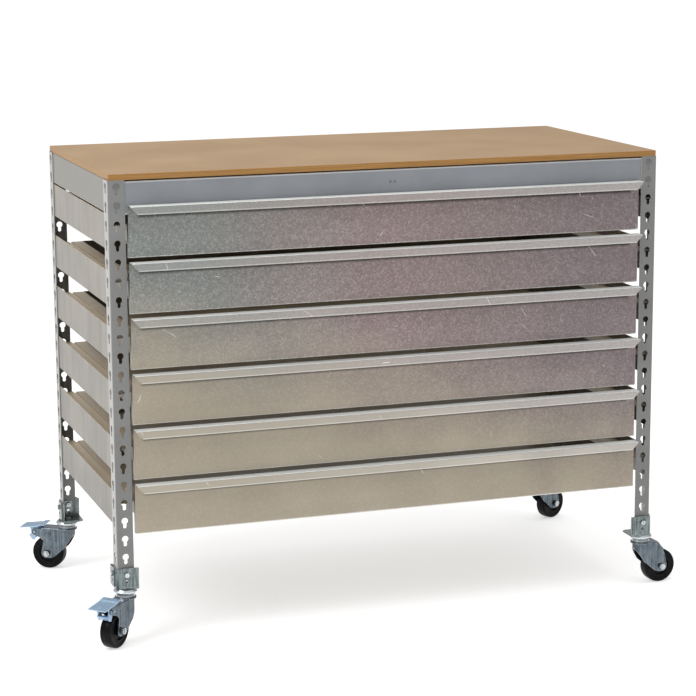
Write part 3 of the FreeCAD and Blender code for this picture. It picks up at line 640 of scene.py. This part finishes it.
def refined(node, width, material, body, segments=2):
    work = bmesh.new()
    work.from_mesh(nodes[node].data)
    bmesh.ops.remove_doubles(work, verts=work.verts, dist=2e-6)
    bmesh.ops.dissolve_limit(work, angle_limit=IN_ONE_PLANE, verts=work.verts, edges=work.edges)
    sharp = [e for e in work.edges if len(e.link_faces) == 2 and e.calc_face_angle() > SHARP_CORNER]
    bmesh.ops.bevel(work, geom=sharp, offset=width, offset_type="OFFSET", segments=segments, profile=0.5,
                    affect="EDGES", clamp_overlap=True)
    for f in work.faces:
        f.smooth = True
    for e in work.edges:
        if len(e.link_faces) == 2 and e.calc_face_angle() > SHADED_CORNER:
            e.smooth = False
    mesh = bpy.data.meshes.new(node + "_fine")
    work.to_mesh(mesh)
    work.free()
    piece = bpy.data.objects.new(node + "_fine", mesh)
    bpy.context.collection.objects.link(piece)
    mesh.materials.append(material)
    even = piece.modifiers.new("even normals", "WEIGHTED_NORMAL")
    even.keep_sharp = True
    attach(piece, body)
    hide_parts(node)
    return piece


print("steel corners sharper than", round(math.degrees(SHARP_CORNER)), "degrees get a bevel")

# %% Refine every steel node
FINE, SMALL, PLATE, THICK = 0.0003, 0.0004, 0.0005, 0.0006
# Each row: start of the node's name, bevel, finish, body, slot, steps in the bevel.
# A body that ends in "_" takes the rest of the node's name, such as a corner.
STEEL = [
    ("post_", FINE, post_paint, "frame", "painted_steel", 2),
    ("beam_", FINE, beam_paint, "frame", "painted_steel", 2),
    ("side_beam_", FINE, side_paint, "frame", "painted_steel", 2),
    ("rail_", FINE, rail_sheet, "frame", "galvanised_sheet", 2),
    ("castor_bracket_bolts", FINE, bolt_zinc, "frame", "zinc_plate", 2),
    ("castor_bracket_", PLATE, zinc, "frame", "zinc_plate", 2),
    ("castor_clamp_plates", SMALL, zinc, "frame", "zinc_plate", 2),
    ("fork_", THICK, fork_zinc, "swivel_", "zinc_plate", 3),
    ("axle_", SMALL, bolt_zinc, "swivel_", "zinc_plate", 2),
    ("brake_pedal_", PLATE, pedal_zinc, "pedal_", "zinc_plate", 2),
    ("drawer_front_", SMALL, front_sheet, "drawer_", "galvanised_sheet", 3),
    ("drawer_tray_", FINE, tray_sheet, "drawer_", "galvanised_sheet", 2),
    ("hub_", PLATE, hub_black, "wheel_", "hub", 2),
]
for node in sorted(nodes):
    for first, width, material, body, slot_name, segments in STEEL:
        if node.startswith(first):
            rest = node[len(first):] if body.endswith("_") else ""
            refined(node, width, material, body + rest, segments)
            break

# %% [markdown]
# ## Parts that keep their CAD shape
# The board, the hidden tie and the kingpins are right as they are and only need
# their finish.

# %% Plain CAD nodes
def paint_node(node, material):
    slots = nodes[node].material_slots
    if not slots:
        nodes[node].data.materials.append(material)
    for item in slots:
        item.material = material


paint_node("worktop", board)
paint_node("centre_tie", side_paint)
paint_node("kingpins", zinc)
print("CAD nodes with their finish")

# %% [markdown]
# ## Tyres
# A castor tyre is turned: one outline goes round the axle. The outline has a
# crowned tread with a fine moulded seam, round shoulders and a raised ring on
# each side, which is what catches a curved line of light. Spinning the outline by
# hand keeps the mesh even and closed.

# %% Turned shapes
SHADED_TURN = math.radians(40)


def turned(name, outline, middle, axis, sides):
    """Closed outline of (radius, along) points turned about an axis."""
    axis = axis.normalized()
    first = axis.orthogonal().normalized()
    second = axis.cross(first)
    points = []
    for step in range(sides):
        angle = 2 * math.pi * step / sides
        out = first * math.cos(angle) + second * math.sin(angle)
        points += [middle + out * radius + axis * along for radius, along in outline]
    count = len(outline)
    faces = []
    for step in range(sides):
        here = step * count
        there = ((step + 1) % sides) * count
        for i in range(count):
            j = (i + 1) % count
            faces.append((here + i, here + j, there + j, there + i))
    mesh = bpy.data.meshes.new(name)
    mesh.from_pydata(points, [], faces)
    work = bmesh.new()
    work.from_mesh(mesh)
    bmesh.ops.recalc_face_normals(work, faces=work.faces)
    for face in work.faces:
        face.smooth = True
    for line in work.edges:
        if line.calc_face_angle() > SHADED_TURN:
            line.smooth = False
    work.to_mesh(mesh)
    work.free()
    piece = bpy.data.objects.new(name, mesh)
    bpy.context.collection.objects.link(piece)
    return piece


print("turned shapes ready")

# %% Tyres
SHOULDER = 3.4
SHOULDER_CENTRE = (33.8, 8.9)
SHOULDER_STEPS = 6
TYRE_SIDES = 72


def tyre_outline():
    """Half outline in mm, from the hub to the crown of the tread, then mirrored."""
    half = [(24.0, 11.4), (28.4, 11.4), (29.2, 11.7), (29.8, 12.2), (31.0, 12.4), (32.2, 12.3),
            (33.0, 12.0)]
    for step in range(SHOULDER_STEPS + 1):
        angle = math.radians(90 - 90 * step / SHOULDER_STEPS)
        half.append((SHOULDER_CENTRE[0] + SHOULDER * math.cos(angle),
                     SHOULDER_CENTRE[1] + SHOULDER * math.sin(angle)))
    half += [(37.35, 5.0), (37.42, 0.6), (37.5, 0.3)]
    whole = half + [(radius, -along) for radius, along in reversed(half)]
    return [(radius * MM, along * MM) for radius, along in whole]


for corner, castor in castors.items():
    tyre = turned("tyre_" + corner + "_turned", tyre_outline(), castor["wheel"], castor["across"],
                  TYRE_SIDES)
    tyre.data.materials.append(tyre_black)
    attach(tyre, "wheel_" + corner)
    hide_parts("tyre_" + corner)
print("tyres", len(castors))

# %% [markdown]
# ## Studs and rivets
# The beams and rails hang by studs whose heads show in the keyholes. Each head is
# a round disc with a small chamfer and a dished middle.
# Geometry Nodes set one stud on each point; the points, their outward direction
# and their sizes are read from the separate solids of the CAD node.

# %% Find the studs
work = bmesh.new()
work.from_mesh(nodes["studs_and_rivets"].data)
bmesh.ops.remove_doubles(work, verts=work.verts, dist=1e-6)
unseen = set(work.verts)
studs = []
while unseen:
    group = [unseen.pop()]
    for vert in group:
        for line in vert.link_edges:
            near = line.other_vert(vert)
            if near in unseen:
                unseen.remove(near)
                group.append(near)
    low = Vector([min(v.co[i] for v in group) for i in range(3)])
    high = Vector([max(v.co[i] for v in group) for i in range(3)])
    studs.append((low, high))
work.free()
print("studs found", len(studs))

# %% Points that carry the studs
stud_points = bpy.data.meshes.new("stud points")
places, outward, sizes = [], [], []
for low, high in studs:
    middle = (low + high) / 2
    span = high - low
    axis = 0 if abs(span.y - span.z) < abs(span.x - span.z) else 1
    sign = 1.0 if middle[axis] > centre[axis] else -1.0
    direction = Vector((0, 0, 0))
    direction[axis] = sign
    places.append(middle)
    outward.append(direction)
    sizes.append(Vector((span.z / 2, span.z / 2, span[axis])))
stud_points.from_pydata(places, [], [])
stud_points.attributes.new("outward", "FLOAT_VECTOR", "POINT")
stud_points.attributes.new("size", "FLOAT_VECTOR", "POINT")
for index in range(len(places)):
    stud_points.attributes["outward"].data[index].vector = outward[index]
    stud_points.attributes["size"].data[index].vector = sizes[index]
print("first stud", [round(v, 4) for v in places[0]], [round(v, 4) for v in sizes[0]])

# %% Stud tree
stud_tree = bpy.data.node_groups.new("riveted studs", "GeometryNodeTree")
stud_tree.interface.new_socket("Geometry", in_out="INPUT", socket_type="NodeSocketGeometry")
for label, kind in (("Sides", "NodeSocketInt"), ("Chamfer", "NodeSocketFloat"), ("Dish", "NodeSocketFloat"),
                    ("Finish", "NodeSocketMaterial")):
    stud_tree.interface.new_socket(label, in_out="INPUT", socket_type=kind)
stud_tree.interface.new_socket("Geometry", in_out="OUTPUT", socket_type="NodeSocketGeometry")
start = stud_tree.nodes.new("NodeGroupInput")
end = stud_tree.nodes.new("NodeGroupOutput")
blank = add(stud_tree, "GeometryNodeMeshCylinder",
            {"Vertices": start.outputs["Sides"], "Radius": 1.0, "Depth": 0.9})
top, shape = blank.outputs["Top"], blank.outputs["Mesh"]
lower = add(stud_tree, "GeometryNodeTransform", {"Geometry": shape, "Translation": (0, 0, -0.05)})
steps = ((0.1, start.outputs["Chamfer"]), (0.0, 0.45), (start.outputs["Dish"], 0.8))
shape = lower.outputs[0]
for rise, scale in steps:
    pulled = add(stud_tree, "GeometryNodeExtrudeMesh",
                 {"Mesh": shape, "Selection": top, "Offset Scale": rise})
    top = pulled.outputs["Top"]
    shrunk = add(stud_tree, "GeometryNodeScaleElements",
                 {"Geometry": pulled.outputs["Mesh"], "Selection": top, "Scale": scale})
    shape = shrunk.outputs[0]
turn = add(stud_tree, "FunctionNodeAlignRotationToVector",
           {"Vector": add(stud_tree, "GeometryNodeInputNamedAttribute", {"Name": "outward"},
                          data_type="FLOAT_VECTOR").outputs["Attribute"]}, axis="Z")
size = add(stud_tree, "GeometryNodeInputNamedAttribute", {"Name": "size"}, data_type="FLOAT_VECTOR")
spread = add(stud_tree, "GeometryNodeInstanceOnPoints",
             {"Points": start.outputs["Geometry"], "Instance": shape, "Rotation": turn.outputs[0],
              "Scale": size.outputs["Attribute"]})
real = add(stud_tree, "GeometryNodeRealizeInstances", {"Geometry": spread.outputs[0]})
painted = add(stud_tree, "GeometryNodeSetMaterial",
              {"Geometry": real.outputs[0], "Material": start.outputs["Finish"]})
stud_tree.links.new(painted.outputs[0], end.inputs["Geometry"])
print("stud tree nodes", len(stud_tree.nodes))


# %% Apply the stud tree
def grown(name, points, tree, values):
    """Run a geometry tree on a mesh and return the plain result as a new piece."""
    carrier = bpy.data.objects.new(name + " carrier", points)
    bpy.context.collection.objects.link(carrier)
    modifier = carrier.modifiers.new("grow", "NODES")
    modifier.node_group = tree
    for item in tree.interface.items_tree:
        if item.in_out == "INPUT" and item.name in values:
            modifier[item.identifier] = values[item.name]
    ready = carrier.evaluated_get(bpy.context.evaluated_depsgraph_get())
    mesh = bpy.data.meshes.new_from_object(ready)
    mesh.name = name
    bpy.data.objects.remove(carrier)
    piece = bpy.data.objects.new(name, mesh)
    bpy.context.collection.objects.link(piece)
    return piece


rivets = grown("stud_heads", stud_points, stud_tree,
               {"Sides": 24, "Chamfer": 0.86, "Dish": -0.12, "Finish": stud_paint})
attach(rivets, "frame")
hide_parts("studs_and_rivets")
print("stud faces", len(rivets.data.polygons))

# %% [markdown]
# ## Floor, light and camera
# A pale seamless floor, a bright even sky and two large soft lamps: one high at
# the left, which makes the bench's end lighter than its front, and one weak
# fill. The camera stands to the left, well back, with a long lens.

# %% Stage
FLOOR_GLOW = 0.52
floor_mesh = bpy.data.meshes.new("floor")
reach = 60.0
floor_mesh.from_pydata([(-reach, -reach, 0), (reach, -reach, 0), (reach, reach, 0), (-reach, reach, 0)],
                       [], [(0, 1, 2, 3)])
floor = bpy.data.objects.new("floor", floor_mesh)
bpy.context.collection.objects.link(floor)
floor_finish, tree, shader, position = new_finish("pale floor")
shader.inputs["Base Color"].default_value = (0.80, 0.80, 0.80, 1)
shader.inputs["Emission Color"].default_value = (1, 1, 1, 1)
shader.inputs["Emission Strength"].default_value = FLOOR_GLOW
shader.inputs["Roughness"].default_value = 0.75
floor_mesh.materials.append(floor_finish)

world = bpy.data.worlds.new("sky")
bpy.context.scene.world = world
world.use_nodes = True
sky = world.node_tree
sky.nodes.clear()
direction = sky.nodes.new("ShaderNodeTexCoord").outputs["Generated"]
parts = add(sky, "ShaderNodeSeparateXYZ", {0: direction})
height = remap(sky, parts.outputs["Z"], 0.0, 0.8, 0.30, 0.75)
glow = add(sky, "ShaderNodeBackground", {"Color": (1, 1, 1, 1), "Strength": height})
sky.links.new(glow.outputs[0], add(sky, "ShaderNodeOutputWorld").inputs[0])


def lamp(name, place, target, size, power):
    data = bpy.data.lights.new(name, "AREA")
    data.shape = "DISK"
    data.size = size
    data.energy = power
    item = bpy.data.objects.new(name, data)
    bpy.context.collection.objects.link(item)
    item.location = place
    item.rotation_euler = (Vector(target) - Vector(place)).to_track_quat("-Z", "Y").to_euler()
    return item


middle = Vector((centre.x, centre.y, 0.5))
lamp("left lamp", centre + Vector((-3.2, -1.2, 2.2)), middle, 2.2, 70)
lamp("top lamp", centre + Vector((0.3, -0.6, 3.4)), middle, 2.5, 45)
print("floor, sky and lamps ready")

# %% Camera
SENSOR_MM = 36.0
LENS_MM = 115.71621
FAR_LIMIT = 200.0
HEADING = math.radians(18.675)
LOOK_DOWN = math.radians(11.262)
ROLL = math.radians(-0.347)
FROM_BENCH = Vector((-1.55753, -4.60223, 1.4906))
camera_data = bpy.data.cameras.new("camera")
camera = bpy.data.objects.new("camera", camera_data)
bpy.context.collection.objects.link(camera)
bpy.context.scene.camera = camera
camera_data.sensor_width = SENSOR_MM
camera_data.lens = LENS_MM
camera_data.clip_end = FAR_LIMIT
right = Vector((math.cos(HEADING), -math.sin(HEADING), 0))
level_ahead = Vector((math.sin(HEADING), math.cos(HEADING), 0))
ahead = level_ahead * math.cos(LOOK_DOWN) - Vector((0, 0, math.sin(LOOK_DOWN)))
over = right.cross(ahead)
side_axis = right * math.cos(ROLL) + over * math.sin(ROLL)
up_axis = over * math.cos(ROLL) - right * math.sin(ROLL)
camera_turn = Matrix((side_axis, up_axis, -ahead)).transposed().to_4x4()
on_floor = centre * Vector((1, 1, 0))
camera.matrix_world = Matrix.Translation(on_floor + FROM_BENCH) @ camera_turn
bpy.context.scene.view_settings.view_transform = "Standard"
print("camera at", [round(v, 3) for v in camera.location])
